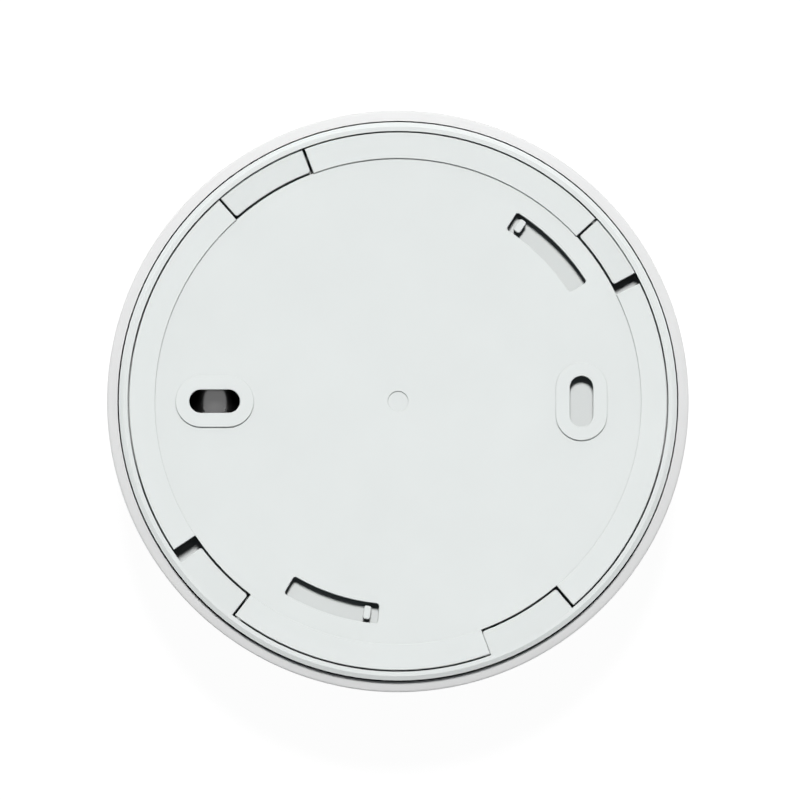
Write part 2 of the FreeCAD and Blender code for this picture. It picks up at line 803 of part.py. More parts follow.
# ---------------------------------------------------------------- the front cover
def bowl(name, depth, bottom_radius, shoulder, side):
    """A turned solid with a low dome below, a rounded shoulder, and the side given as more corners."""
    body = new_body(name)
    section = new_sketch(body, f"{name}_section", "XZ_Plane")
    sagitta = d.cover_dome.value - math.sqrt(d.cover_dome.value**2 - bottom_radius.value**2)
    fall = Size(
        sagitta,
        f"({d.cover_dome.text} - sqrt({d.cover_dome.text} ^ 2 - {bottom_radius.text} ^ 2))",
    )
    corner_height = fall - depth
    outline(section, ((0, -depth, d.cover_dome), (bottom_radius, corner_height), *side))
    revolve(body, section)
    dress(body, "Fillet", shoulder, level_at(corner_height))
    return body


def cover_outside():
    """The cover before it is hollowed, with the smoke inlets and the openings in its front."""
    bottom_radius = d.cover_radius - d.cover_draft
    ring_outside = -(d.cover_drop + d.cover_ring_slope)
    side = ((d.cover_radius, ring_outside), (d.cover_bore, -d.cover_drop), (0, -d.cover_drop))
    outside = bowl("cover_outside", d.cover_depth, bottom_radius, d.cover_shoulder, side)
    dress(outside, "Fillet", d.cover_ring_edge, level_at(ring_outside))

    inlet = new_sketch(outside, "inlet", "YZ_Plane", d.cover_radius + OVERRUN)
    half = d.inlet_width / 2
    inlet_low = -(d.inlet_drop + d.inlet_height)
    rectangle(inlet, -half, half, inlet_low, -d.inlet_drop)
    first = pocket(outside, inlet, d.inlet_depth)
    polar_copies(outside, first, INLETS, grows=False)

    def is_inlet_mouth(edge):
        """An edge where an inlet meets the cover's outer surface."""
        extent, middle = edge.BoundBox, edge.CenterOfMass
        outer = math.hypot(middle.x, middle.y) > bottom_radius.value - OVERCUT
        level = inlet_low.value - HAIR < extent.ZMin and extent.ZMax < HAIR - d.inlet_drop.value
        return outer and level and len(edge.Vertexes) == 2

    dress(outside, "Chamfer", d.inlet_break, is_inlet_mouth)

    openings = new_sketch(outside, "front_openings", offset=-(d.cover_depth + OVERRUN))
    circle(openings, 0, 0, d.button_radius + d.button_gap)
    circle(openings, 0, d.light_y, d.light_radius + d.light_gap)
    for n in range(SOUND_SLOTS):
        step = n - (SOUND_SLOTS - 1) / 2
        x = d.sounder_x + step * d.sound_slot_pitch
        length = d.sound_slot_length - abs(step) * d.sound_slot_taper
        oblong(openings, x, as_size(0), length, d.sound_slot_width, False)
    pocket(outside, openings, d.front_cut_depth, upwards=True)
    return outside


def front_cover():
    """The visible casing: a bowl with three screw columns inside."""
    wall = d.cover_wall
    bottom_radius = d.cover_radius - d.cover_draft - wall
    side = ((d.cover_bore, -(d.skirt_drop + d.skirt_room)), (d.cover_bore, 0), (0, 0))
    cavity = bowl("cover_cavity", d.cover_depth - wall, bottom_radius, d.cover_shoulder - wall, side)
    columns = []
    top = -(d.trough_drop + d.floor_thickness)
    for n, (x, y) in enumerate(cover_screw_places()):
        column = cylinder(f"column_{n}", d.column_radius, x, y, -d.cover_depth, top)
        bore_low = top - d.cover_shank_length
        bore = cylinder(f"column_bore_{n}", d.column_bore_radius, x, y, bore_low, top + OVERCUT)
        columns.append(cut(f"bored_column_{n}", column, bore))
    return cut("front_cover", cover_outside(), cut("cover_hollow", cavity, *columns))


# ---------------------------------------------------------------- the battery and its contacts
def battery():
    """A cylindrical lithium cell that lies along Y, its positive end towards +Y."""
    x, z = d.battery_x, -d.battery_drop
    half = d.battery_length / 2
    shoulder = half - d.battery_nub
    can_radius = d.battery_radius - d.sleeve_thickness
    crimp = can_radius - d.crimp_width
    can_end = shoulder - d.seal_thickness
    can = rod_along_y("battery_can", can_radius, x, z, -half, can_end)
    skin = cut(
        "battery_sleeve",
        rod_along_y("sleeve_outside", d.battery_radius, x, z, -half + d.sleeve_setback, shoulder),
        rod_along_y("sleeve_inside", can_radius, x, z, -half, can_end),
        rod_along_y("sleeve_mouth", crimp, x, z, can_end - OVERCUT, shoulder + OVERCUT),
    )
    seal = cut(
        "battery_seal",
        rod_along_y("seal_outside", crimp, x, z, can_end, shoulder),
        rod_along_y("seal_inside", d.battery_nub_radius, x, z, can_end - OVERCUT, shoulder + OVERCUT),
    )
    cap = rod_along_y("battery_cap", d.battery_nub_radius, x, z, can_end, half)
    return can, skin, seal, cap


def contact(name, side):
    """A sheet-metal contact at one end of the bay, with a bent leaf on the cell and a tab to the board."""
    thick = d.contact_thickness
    x, z = d.battery_x, -d.battery_drop
    wall = d.bay_half_length - d.contact_gap
    cell_end = d.battery_length / 2
    tab_top = -(d.board_drop + d.board_thickness)

    def plate(part, x0, x1, near, far, z0, z1):
        low, high = (near, far) if side > 0 else (-far, -near)
        return box(f"{name}_{part}", x0, x1, low, high, z0, z1)

    right = x + d.battery_radius + d.battery_clearance
    foot = z - d.contact_reach
    half, slim = d.contact_half_width, d.leaf_half_width
    pieces = (
        plate("back", x - half, x + half, wall - thick, wall, foot, tab_top),
        plate("arm", x, right + OVERCUT, wall - thick, wall, tab_top - thick, tab_top),
        plate("tab", right, d.board_edge_x + d.tab_reach, wall - d.tab_width, wall, tab_top - thick, tab_top),
        plate("leaf_foot", x - slim, x + slim, cell_end + thick, wall, foot, foot + thick),
        plate("leaf", x - slim, x + slim, cell_end, cell_end + thick, foot, z + d.leaf_rise),
    )
    return joined(name, pieces)


# ---------------------------------------------------------------- the circuit board and what is on it
def board_bottom():
    """The height of the board's lower side."""
    return -(d.board_drop + d.board_thickness)


def circuit_board():
    """A D-shaped board with notches for two of the cover's columns and holes for four screws."""
    bottom, top = board_bottom(), -d.board_drop
    board = cylinder("board_disc", d.board_radius, 0, 0, bottom, top)
    far, low, high = d.board_radius + OVERRUN, bottom - OVERRUN, top + OVERRUN
    tools = [box("board_cut_off", -far, d.board_edge_x, -far, far, low, high)]
    for n, (x, y) in enumerate(cover_screw_places()):
        tools.append(cylinder(f"board_notch_{n}", d.column_radius + d.board_notch_gap, x, y, low, high))
    for n, (x, y) in enumerate(BOARD_SCREW_PLACES):
        tools.append(cylinder(f"board_hole_{n}", d.board_hole_radius, x, y, low, high))
    return cut("circuit_board", board, *tools)


def chip(name):
    """A chip on the board's upper side, with legs along two of its sides."""
    x, y, length, width, pairs = CHIPS[name]
    face, half = -d.board_drop, length / 2
    case = box(f"{name}_case", x - half, x + half, y - width / 2, y + width / 2, face, face + d.chip_height)
    pieces = [case]
    reach = width / 2 + d.leg_reach
    for n in range(pairs):
        middle = x - half + (n + 0.5) * length / pairs
        sides = (middle - d.leg_half_width, middle + d.leg_half_width)
        pieces.append(box(f"{name}_legs_{n}", *sides, y - reach, y + reach, face, face + d.leg_thickness))
    return joined(name, pieces)


def storage_capacitor():
    x, y = CAPACITOR_PLACE
    board = board_bottom()
    seam = board - d.capacitor_plug_height
    can = cylinder("capacitor_can", d.capacitor_radius, x, y, board - d.capacitor_height, seam)
    plug = cylinder("capacitor_plug", d.capacitor_plug_radius, x, y, seam, board)
    return joined("storage_capacitor", (can, plug))


def boost_inductor():
    x, y = INDUCTOR_PLACE
    board = board_bottom()
    low = board - d.inductor_height
    foot, head = board - d.inductor_flange, low + d.inductor_flange
    pieces = (
        cylinder("inductor_foot", d.inductor_radius, x, y, foot, board),
        cylinder("inductor_winding", d.inductor_core_radius, x, y, head, foot),
        cylinder("inductor_head", d.inductor_radius, x, y, low, head),
    )
    return joined("boost_inductor", pieces)


def chip_parts(name, places, size):
    """Small two-ended components that lie on the board's upper side."""
    length, width, height = size
    face = -d.board_drop
    blocks = [
        box(f"{name}_{n}", x, x + length, y, y + width, face, face + height)
        for n, (x, y) in enumerate(places)
    ]
    return group(name, blocks)


def cross_recess(name, x, y, low, high):
    """The tool for a screw head's cross recess."""
    half, slim = d.recess_half_length, d.recess_half_width
    return joined(
        name,
        (
            box(f"{name}_long", x - half, x + half, y - slim, y + slim, low, high),
            box(f"{name}_wide", x - slim, x + slim, y - half, y + half, low, high),
        ),
    )


def board_screws():
    """Pan-head screws that hold the board against the base's bosses, heads downwards."""
    screws = []
    board = board_bottom()
    face = board - d.board_head_height
    for n, (x, y) in enumerate(BOARD_SCREW_PLACES):
        head = cylinder(f"board_screw_head_{n}", d.board_head_radius, x, y, face, board)
        tip = -d.board_drop + d.board_shank_reach
        shank = cylinder(f"board_screw_shank_{n}", d.board_shank_radius, x, y, board, tip)
        recess = cross_recess(f"board_screw_recess_{n}", x, y, face - OVERCUT, face + d.recess_depth)
        screws.append(cut(f"board_screw_{n}", joined(f"board_screw_blank_{n}", (head, shank)), recess))
    return group("board_screws", screws)


def cover_screws():
    """Countersunk screws through the base's trough floor into the cover's columns."""
    screws = []
    floor = -d.trough_drop
    face, neck = floor - d.cover_head_sink, floor - d.cover_sink_depth
    for n, (x, y) in enumerate(cover_screw_places()):
        radius = d.cover_shank_radius
        head = cone(f"cover_screw_head_{n}", radius, d.cover_head_radius, x, y, neck, face)
        tip = floor - d.cover_shank_length
        shank = cylinder(f"cover_screw_shank_{n}", radius, x, y, tip, neck + OVERCUT)
        recess = cross_recess(f"cover_screw_recess_{n}", x, y, face - d.recess_depth, face + OVERCUT)
        screws.append(cut(f"cover_screw_{n}", joined(f"cover_screw_blank_{n}", (head, shank)), recess))
    return group("cover_screws", screws)


# ---------------------------------------------------------------- the smoke chamber
def chamber_floor():
    """The height of the chamber floor's inner side."""
    return board_bottom() - d.chamber_floor


def chamber_rod(name, radius, angle, start, end):
    """A level cylinder that points away from the chamber's centre, between two distances from it."""
    thing = doc.addObject("Part::Cylinder", name)
    thing.setExpression("Radius", radius.text)
    thing.setExpression("Height", (end - start).text)
    turned = Rotation(Vector(0, 0, 1), angle).multiply(Rotation(Vector(0, 1, 0), 90))
    x, y = polar(start, angle)
    return place(thing, d.chamber_x + x, y, chamber_floor() - d.optics_drop, turned)


def chamber_base():
    """The chamber's floor on the board, with a holder each for the emitter and the photodiode."""
    floor = chamber_floor()
    solids = [cylinder("chamber_plate", d.chamber_radius, d.chamber_x, 0, floor, board_bottom())]
    bores = []
    start, width, height = d.holder_start, d.holder_width, d.holder_height
    for n, angle in enumerate((EMITTER_ANGLE, RECEIVER_ANGLE)):
        turned = Rotation(Vector(0, 0, 1), angle)
        along, across = polar(start, angle), polar(width / 2, angle - 90)
        holder = box(f"optics_holder_{n}", 0, d.holder_length, 0, width, 0, height)
        corner = (d.chamber_x + along[0] + across[0], along[1] + across[1])
        solids.append(place(holder, *corner, floor - height, turned))
        near, far = start - OVERCUT, start + d.holder_length + OVERRUN
        bores.append(chamber_rod(f"optics_bore_{n}", d.optics_bore_radius, angle, near, far))
    return cut("chamber_base", joined("chamber_base_solid", solids), *bores)


def chamber_labyrinth():
    """The chamber's roof and the bent vanes round it, which let smoke in and keep light out."""
    roof = -d.chamber_drop
    roof_inside = roof + d.chamber_floor
    body = new_body("chamber_labyrinth")
    disc = new_sketch(body, "roof_disc", offset=roof)
    circle(disc, 0, 0, d.chamber_radius)
    pad(body, disc, d.chamber_floor)
    vane = new_sketch(body, "vane", offset=roof_inside)
    thick = d.vane_thickness
    corners = (
        (d.vane_inner, d.vane_inner_y),
        (d.vane_bend, d.vane_bend_y),
        (d.vane_outer, d.vane_outer_y),
        (d.vane_outer + thick, d.vane_outer_y + thick / 2),
        (d.vane_bend, d.vane_bend_y + thick * math.sqrt(2)),
        (d.vane_inner - thick / 2, d.vane_inner_y + thick / 2),
    )
    outline(vane, corners)
    first = pad(body, vane, chamber_floor() - roof_inside - d.vane_gap)
    polar_copies(body, first, VANES, grows=True)
    return place(body, d.chamber_x, 0, 0)


def insect_screen():
    """A thin perforated metal ring round the vanes."""
    low = -d.chamber_drop + d.screen_edge
    height = board_bottom() - d.screen_edge - low
    body = new_body("insect_screen")
    inner = d.chamber_radius + d.screen_gap
    band = new_sketch(body, "screen_band", offset=low)
    circle(band, 0, 0, inner)
    circle(band, 0, 0, inner + d.screen_thickness)
    pad(body, band, height)
    holes = new_sketch(body, "screen_holes", "YZ_Plane", inner + OVERRUN)
    half = d.screen_hole_width / 2
    pitch = height / (SCREEN_ROWS + 1 - SCREEN_HOLE_SHARE)
    for row in range(SCREEN_ROWS):
        hole_low = low + pitch * (row + 1 - SCREEN_HOLE_SHARE)
        rectangle(holes, -half, half, hole_low, hole_low + pitch * SCREEN_HOLE_SHARE)
    first = pocket(body, holes, 2 * OVERRUN)
    polar_copies(body, first, SCREEN_HOLES, grows=False)
    return place(body, d.chamber_x, 0, 0)


def lensed_part(name, angle, start):
    """A round-lensed component that looks towards the chamber's centre."""
    flange_start = d.optics_flange_start
    lens = chamber_rod(f"{name}_lens", d.optics_radius, angle, start, flange_start)
    flange = chamber_rod(f"{name}_flange", d.optics_flange_radius, angle, flange_start, d.optics_flange_end)
    return joined(name, (lens, flange))


def optics():
    """The infrared emitter, the photodiode and the metal shield over the photodiode's back."""
    start, gap = d.optics_flange_start, d.shield_gap
    inner, inner_end = d.optics_flange_radius + gap, d.optics_flange_end + gap
    shield = cut(
        "photodiode_shield",
        chamber_rod("shield_outside", d.shield_radius, RECEIVER_ANGLE, start, d.shield_end),
        chamber_rod("shield_inside", inner, RECEIVER_ANGLE, start - OVERCUT, inner_end),
    )
    led = lensed_part("infrared_led", EMITTER_ANGLE, d.emitter_start)
    return led, lensed_part("photodiode", RECEIVER_ANGLE, d.receiver_start), shield


# ---------------------------------------------------------------- the sounder
def sounder():
    """A piezo disc in a resonator cup. The cup's arm also guides the test button's stem."""
    x, top, bottom = d.sounder_x, -d.sounder_top_drop, -d.sounder_bottom_drop
    inner = d.sounder_radius - d.sounder_wall
    seat = inner - d.piezo_seat
    plate_top = -d.piezo_drop
    plate_bottom = plate_top - d.piezo_thickness
    ceramic_top = plate_top + d.ceramic_thickness
    guide_low, guide_high = -d.guide_drop, top + d.guide_rise
    arm_start, arm_half = x + d.sounder_radius - OVERRUN, d.arm_half_width
    blank = joined(
        "sounder_blank",
        (
            cylinder("sounder_outside", d.sounder_radius, x, 0, bottom, top),
            box("guide_arm", arm_start, 0, -arm_half, arm_half, top - d.arm_thickness, top),
            cylinder("guide_outside", d.stem_radius + d.guide_wall, 0, 0, guide_low, guide_high),
        ),
    )
    bore = d.stem_radius + d.stem_gap
    roof_inside = top - d.sounder_roof
    tools = [
        cylinder("sounder_mouth", inner, x, 0, bottom - OVERCUT, plate_top),
        cylinder("sounder_chamber", seat, x, 0, plate_top - OVERCUT, roof_inside),
        cylinder("guide_bore", bore, 0, 0, guide_low - OVERCUT, guide_high + OVERCUT),
    ]
    leads = []
    for n, (place_xy, end) in enumerate(zip(LEAD_PLACES, (ceramic_top, plate_top))):
        low, high = roof_inside - OVERCUT, top + OVERCUT
        tools.append(cylinder(f"lead_hole_{n}", d.lead_hole_radius, *place_xy, low, high))
        leads.append(cylinder(f"sounder_lead_{n}", d.lead_radius, *place_xy, end, board_bottom()))
    plate_radius = inner - d.piezo_gap
    return (
        cut("sounder_housing", blank, *tools),
        cylinder("piezo_plate", plate_radius, x, 0, plate_bottom, plate_top),
        cylinder("piezo_ceramic", d.ceramic_radius, x, 0, plate_top, ceramic_top),
        ring("sounder_ring", seat, plate_radius, x, 0, plate_bottom - d.clamp_height, plate_bottom),
        ring("sounder_gasket", inner, d.sounder_radius, x, 0, bottom - d.gasket_height, bottom),
        group("sounder_leads", leads),
    )


# ---------------------------------------------------------------- the test button, its switch and the light
def flange_levels():
    """The heights of the button flange's lower side, its upper side and the top of the hub above it."""
    low = -(d.cover_depth - d.cover_wall) + d.flange_gap
    high = low + d.flange_thickness
    return low, high, high + d.hub_height


def test_button():
    """The round button in the middle of the front, with a flange inside and a stem up to the switch."""
    body = new_body("test_button")
    section = new_sketch(body, "button_section", "XZ_Plane")
    face = -(d.cover_depth + d.button_proud)
    low, high, hub = flange_levels()
    hub_radius = d.spring_radius + d.hub_margin
    tip = -d.stem_tip_drop
    corners = (
        (0, face + d.button_dish),
        (d.button_radius - d.button_land, face),
        (d.button_radius - d.button_round, face),
        (d.button_radius, face + d.button_round),
        (d.button_radius, low),
        (d.button_radius + d.button_flange, low),
        (d.button_radius + d.button_flange, high),
        (hub_radius, high),
        (hub_radius, hub),
        (d.stem_radius, hub),
        (d.stem_radius, tip - d.button_round),
        (d.stem_radius - d.button_round, tip),
        (0, tip),
    )
    outline(section, corners)
    revolve(body, section)
    return body


def button_spring():
    """The coil spring between the guide and the button, open by its own wire at either end."""
    _, _, hub = flange_levels()
    wire = d.spring_wire / 2
    height = -d.guide_drop - hub - d.spring_wire - 2 * d.spring_gap
    helix = doc.addObject("Part::Helix", "spring_helix")
    helix.SegmentLength = SPRING_SEGMENT
    helix.setExpression("Radius", d.spring_radius.text)
    helix.setExpression("Height", height.text)
    helix.setExpression("Pitch", (height / SPRING_TURNS).text)
    section = doc.addObject("Part::Circle", "spring_section")
    section.setExpression("Radius", wire.text)
    place(section, d.spring_radius, 0, 0, Rotation(Vector(1, 0, 0), 90))
    doc.recompute()
    spring = doc.addObject("Part::Sweep", "button_spring")
    spring.Sections = [section]
    spring.Spine = (helix, [f"Edge{n}" for n in range(1, len(helix.Shape.Edges) + 1)])
    spring.Solid = True
    spring.Frenet = True
    return place(spring, 0, 0, hub + wire + d.spring_gap)


def switch():
    """The board's key switch: a square case and the plunger that the button's stem pushes."""
    board = board_bottom()
    low = board - d.switch_depth
    half = d.switch_side / 2
    bore, bore_top = d.plunger_radius + d.plunger_gap, low + d.switch_bore_depth
    case = cut(
        "switch_body",
        box("switch_case", -half, half, -half, half, low, board),
        cylinder("switch_bore", bore, 0, 0, low - OVERCUT, bore_top),
    )
    tip = low - d.plunger_reach
    return case, cylinder("switch_plunger", d.plunger_radius, 0, 0, tip, low + d.plunger_root)


def status_light():
    """The light-emitting diode on the board and the clear rod that carries its light to the front."""
    board, y = board_bottom(), d.light_y
    half, slim = d.led_half_length, d.led_half_width
    led = box("status_led", -half, half, y - slim, y + slim, board - d.led_height, board)
    front, rod_top = -(d.cover_depth - d.light_recess), board - d.light_top_gap
    collar_low = -(d.cover_depth - d.cover_wall) + d.collar_gap
    collar_radius, collar_high = d.light_radius + d.collar_width, collar_low + d.collar_height
    rod = cylinder("pipe_rod", d.light_radius, 0, y, front, rod_top)
    collar = cylinder("pipe_collar", collar_radius, 0, y, collar_low, collar_high)
    return led, joined("light_pipe", (rod, collar))


# ---------------------------------------------------------------- assembly
def main():
    parts = [
        mounting_bracket(),
        base_housing(),
        front_cover(),
        *battery(),
        contact("positive_contact", 1),
        contact("negative_contact", -1),
        circuit_board(),
        *(chip(name) for name in CHIPS),
        boost_inductor(),
        storage_capacitor(),
        chip_parts("chip_capacitors", CHIP_CAPACITOR_PLACES, CHIP_CAPACITOR_SIZE),
        chip_parts("chip_resistors", CHIP_RESISTOR_PLACES, CHIP_RESISTOR_SIZE),
        board_screws(),
        cover_screws(),
        chamber_base(),
        chamber_labyrinth(),
        insect_screen(),
        *optics(),
        *sounder(),
        test_button(),
        button_spring(),
        *switch(),
        *status_light(),
    ]
    doc.recompute()
    failed = [thing.Name for thing in doc.Objects if {"Invalid", "Error"} & set(thing.State)]
    if failed:
        raise RuntimeError(f"failed objects: {failed}")
    os.makedirs("parts", exist_ok=True)
    for part in parts:
        part.Label = part.Name
        if part.Shape.isNull() or not part.Shape.isValid():
            raise RuntimeError(f"{part.Label} has no valid shape")
    for part in parts:
        part.Shape.exportStep(f"parts/{part.Label}.step")
        print(part.Label, len(part.Shape.Solids), round(part.Shape.Volume, 1))


doc = FreeCAD.newDocument("smoke_detector")
d = make_sheet()
spans = {
    name: SimpleNamespace(**{field: getattr(d, f"{name}_{field}") for field in fields})
    for names, fields in ((QUARTERS, QUARTER_FIELDS), (CURVED_SLOTS, CURVED_FIELDS))
    for name in names
}
main()
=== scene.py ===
import math

import bmesh
import bpy
from mathutils import Matrix, Vector


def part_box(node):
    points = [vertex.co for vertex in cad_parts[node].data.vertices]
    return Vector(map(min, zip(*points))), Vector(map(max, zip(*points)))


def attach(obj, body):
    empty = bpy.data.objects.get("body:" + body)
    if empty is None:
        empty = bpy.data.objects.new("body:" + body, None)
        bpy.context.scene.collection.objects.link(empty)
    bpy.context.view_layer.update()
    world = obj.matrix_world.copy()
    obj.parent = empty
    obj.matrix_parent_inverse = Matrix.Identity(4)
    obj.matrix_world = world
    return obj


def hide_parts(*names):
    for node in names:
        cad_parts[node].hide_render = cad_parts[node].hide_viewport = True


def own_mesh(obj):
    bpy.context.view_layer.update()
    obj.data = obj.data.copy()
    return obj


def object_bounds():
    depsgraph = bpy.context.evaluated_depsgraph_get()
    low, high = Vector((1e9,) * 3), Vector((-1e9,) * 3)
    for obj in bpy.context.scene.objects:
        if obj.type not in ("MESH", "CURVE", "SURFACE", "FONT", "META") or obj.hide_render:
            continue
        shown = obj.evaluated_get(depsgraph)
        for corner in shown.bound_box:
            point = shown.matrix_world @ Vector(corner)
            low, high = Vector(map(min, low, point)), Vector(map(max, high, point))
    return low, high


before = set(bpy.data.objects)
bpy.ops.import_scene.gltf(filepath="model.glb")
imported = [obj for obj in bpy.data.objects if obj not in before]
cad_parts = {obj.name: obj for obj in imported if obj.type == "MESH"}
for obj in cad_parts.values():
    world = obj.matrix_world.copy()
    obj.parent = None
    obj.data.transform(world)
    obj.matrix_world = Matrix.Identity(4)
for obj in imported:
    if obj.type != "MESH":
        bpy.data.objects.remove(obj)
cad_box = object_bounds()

# The smoke detector lies face down, seen from the side that goes on the ceiling.
# Metres, in the CAD frame: the origin is the centre of the bracket's ceiling face, +Z is out of it.
MM = 0.001


# ---------------------------------------------------------------- material building blocks
def new_material(name):
    """A material with its shader and output, ready for the nodes that feed it."""
    material = bpy.data.materials.new(name)
    material.use_nodes = True
    tree = material.node_tree
    tree.nodes.clear()
    output = tree.nodes.new("ShaderNodeOutputMaterial")
    shader = tree.nodes.new("ShaderNodeBsdfPrincipled")
    tree.links.new(shader.outputs["BSDF"], output.inputs["Surface"])
    return material, tree, shader


def add_node(tree, kind, inputs=None, **settings):
    """Adds a node. An input is set to a number, or linked where the value is another node's output."""
    node = tree.nodes.new(kind)
    for key, value in settings.items():
        setattr(node, key, value)
    for key, value in (inputs or {}).items():
        if isinstance(value, bpy.types.NodeSocket):
            tree.links.new(value, node.inputs[key])
        else:
            node.inputs[key].default_value = value
    return node


def object_position(tree):
    return add_node(tree, "ShaderNodeTexCoord").outputs["Object"]


def noise(tree, size, detail=2.0, roughness=0.5, position=None):
    """Noise whose cells are about this many metres across."""
    inputs = {"Vector": position or object_position(tree), "Scale": 1.0 / size}
    inputs.update({"Detail": detail, "Roughness": roughness})
    return add_node(tree, "ShaderNodeTexNoise", inputs).outputs["Fac"]


def ramp(tree, factor, *stops):
    """A colour ramp through (position, grey or colour) stops."""
    node = add_node(tree, "ShaderNodeValToRGB", {"Fac": factor})
    elements = node.color_ramp.elements
    while len(elements) < len(stops):
        elements.new(0.5)
    for element, (position, colour) in zip(elements, stops):
        element.position = position
        element.color = (*colour, 1.0) if isinstance(colour, tuple) else (colour, colour, colour, 1.0)
    return node.outputs["Color"]


def shaded(colour, factor):
    return tuple(channel * factor for channel in colour)


def bump(tree, shader, height, strength, distance):
    node = add_node(tree, "ShaderNodeBump", {"Height": height, "Strength": strength, "Distance": distance})
    tree.links.new(node.outputs["Normal"], shader.inputs["Normal"])


def moulded_plastic(name, colour, roughness, grain=0.22 * MM, painted_shade=None):
    """Injection-moulded plastic: an even colour that clouds slightly, and a fine spark-eroded grain.

    The last argument is a height and a factor: the surfaces below that height are painted darker by that
    factor, a painted shade for recesses.
    """
    material, tree, shader = new_material(name)
    clouds = noise(tree, 14 * MM, 3.0)
    tone = ramp(tree, clouds, (0.3, shaded(colour, 0.985)), (0.7, shaded(colour, 1.01)))
    # Painted shade: below the given height the colour is made darker, standing in for shade in the recesses.
    if painted_shade:
        height, shade = painted_shade
        level = add_node(tree, "ShaderNodeSeparateXYZ", {"Vector": object_position(tree)}).outputs["Z"]
        above = add_node(tree, "ShaderNodeMath", {0: level, 1: height}, operation="GREATER_THAN")
        painted_depth_shade = ramp(tree, above.outputs["Value"], (0.0, shade), (1.0, 1.0))
        product = add_node(tree, "ShaderNodeVectorMath", {0: tone, 1: painted_depth_shade}, operation="MULTIPLY")
        tone = product.outputs["Vector"]
    tree.links.new(tone, shader.inputs["Base Color"])
    grains = noise(tree, grain, 3.0, 0.6)
    matt = ramp(tree, grains, (0.3, roughness - 0.05), (0.7, roughness + 0.05))
    tree.links.new(matt, shader.inputs["Roughness"])
    bump(tree, shader, grains, 0.35, 0.006 * MM)
    return material


def sheet_metal(name, colour, roughness, axis):
    """Rolled or drawn metal: fine streaks along one axis, 0 for X to 2 for Z."""
    material, tree, shader = new_material(name)
    stretch = [1.0, 1.0, 1.0]
    stretch[axis] = 0.04
    mapping = add_node(tree, "ShaderNodeMapping", {"Vector": object_position(tree), "Scale": stretch})
    streaks = noise(tree, 0.08 * MM, 4.0, 0.7, mapping.outputs["Vector"])
    tone = ramp(tree, streaks, (0.3, shaded(colour, 0.88)), (0.7, colour))
    tree.links.new(tone, shader.inputs["Base Color"])
    matt = ramp(tree, streaks, (0.2, roughness - 0.08), (0.8, roughness + 0.1))
    tree.links.new(matt, shader.inputs["Roughness"])
    shader.inputs["Metallic"].default_value = 1.0
    bump(tree, shader, streaks, 0.2, 0.002 * MM)
    return material


def metallised_film(name, colour, roughness):
    """Dark shrink film over a metal coating, drawn tight, with faint long ripples."""
    material, tree, shader = new_material(name)
    ripples = noise(tree, 6 * MM, 2.0)
    tone = ramp(tree, ripples, (0.3, shaded(colour, 0.94)), (0.7, colour))
    tree.links.new(tone, shader.inputs["Base Color"])
    matt = ramp(tree, ripples, (0.3, roughness), (0.7, roughness + 0.04))
    tree.links.new(matt, shader.inputs["Roughness"])
    shader.inputs["Metallic"].default_value = 1.0
    bump(tree, shader, ripples, 0.1, 0.004 * MM)
    return material


def clear_plastic(name, colour, roughness):
    """Clear moulded plastic with a faint flow pattern."""
    material, tree, shader = new_material(name)
    flow = noise(tree, 2.5 * MM, 2.0)
    tone = ramp(tree, flow, (0.3, shaded(colour, 0.94)), (0.7, colour))
    tree.links.new(tone, shader.inputs["Base Color"])
    matt = ramp(tree, flow, (0.3, roughness), (0.7, roughness + 0.06))
    tree.links.new(matt, shader.inputs["Roughness"])
    shader.inputs["Transmission Weight"].default_value = 0.9
    shader.inputs["IOR"].default_value = 1.49
    bump(tree, shader, flow, 0.1, 0.01 * MM)
    return material


def circuit_laminate(name):
    """Green solder mask over copper tracks, which show as slightly lighter lines."""
    material, tree, shader = new_material(name)
    pattern = {"Scale": 220.0, "Brick Width": 1.6, "Row Height": 0.55}
    pattern["Mortar Size"], pattern["Mortar Smooth"] = 0.05, 0.1
    pattern["Color1"] = (0.008, 0.085, 0.035, 1.0)
    pattern["Color2"] = (0.009, 0.090, 0.037, 1.0)
    pattern["Mortar"] = (0.012, 0.125, 0.050, 1.0)
    pattern["Vector"] = object_position(tree)
    tracks = add_node(tree, "ShaderNodeTexBrick", pattern)
    tree.links.new(tracks.outputs["Color"], shader.inputs["Base Color"])
    matt = ramp(tree, noise(tree, 1.2 * MM), (0.3, 0.28), (0.7, 0.38))
    tree.links.new(matt, shader.inputs["Roughness"])
    bump(tree, shader, tracks.outputs["Fac"], 0.5, 0.03 * MM)
    return material


def fired_ceramic(name, colour, roughness):
    """Fired or sintered material, or filled epoxy, with a fine speckle."""
    material, tree, shader = new_material(name)
    speckle = noise(tree, 0.12 * MM, 4.0, 0.7)
    tone = ramp(tree, speckle, (0.35, shaded(colour, 0.85)), (0.65, colour))
    tree.links.new(tone, shader.inputs["Base Color"])
    matt = ramp(tree, speckle, (0.3, roughness - 0.08), (0.7, roughness + 0.08))
    tree.links.new(matt, shader.inputs["Roughness"])
    bump(tree, shader, speckle, 0.3, 0.006 * MM)
    return material


def cell_foam(name):
    """Closed-cell foam: small pits in a matt black skin."""
    material, tree, shader = new_material(name)
    cells = add_node(tree, "ShaderNodeTexVoronoi", {"Vector": object_position(tree), "Scale": 1 / (0.5 * MM)})
    pits = cells.outputs["Distance"]
    # Painted shade: the colour is darkest at the centre of each pit, where the bump sinks it.
    tree.links.new(ramp(tree, pits, (0.0, 0.006), (0.6, 0.03)), shader.inputs["Base Color"])
    tree.links.new(ramp(tree, pits, (0.0, 0.95), (0.8, 0.8)), shader.inputs["Roughness"])
    bump(tree, shader, pits, 0.8, 0.08 * MM)
    return material


